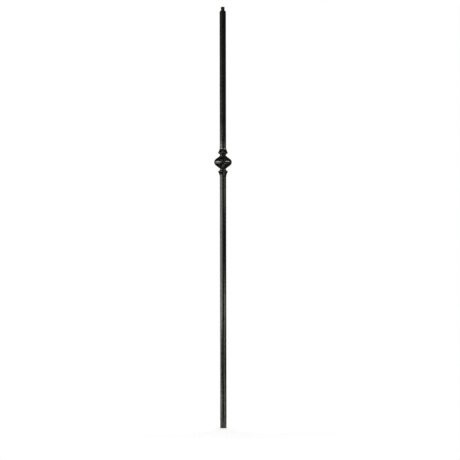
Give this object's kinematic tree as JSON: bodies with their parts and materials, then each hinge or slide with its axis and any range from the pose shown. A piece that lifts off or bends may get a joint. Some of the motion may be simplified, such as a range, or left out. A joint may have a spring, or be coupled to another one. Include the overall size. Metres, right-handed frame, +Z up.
{
  "type": "stair baluster",
  "caption": "Upright square iron bar for a stair railing, with a forged double-collared knuckle, a round pin at the top and a plain square-cut foot.",
  "frame": {"origin": "centre of the foot's flat end", "axes": "+Z up the bar towards the pin; X and Y are square to the bar's faces"},
  "size_m": [0.0366, 0.0366, 1.1176],
  "materials": {
    "black_paint": "satin black paint over forged iron"
  },
  "bodies": {
    "root": {"baluster": "black_paint"}
  },
  "joints": []
}
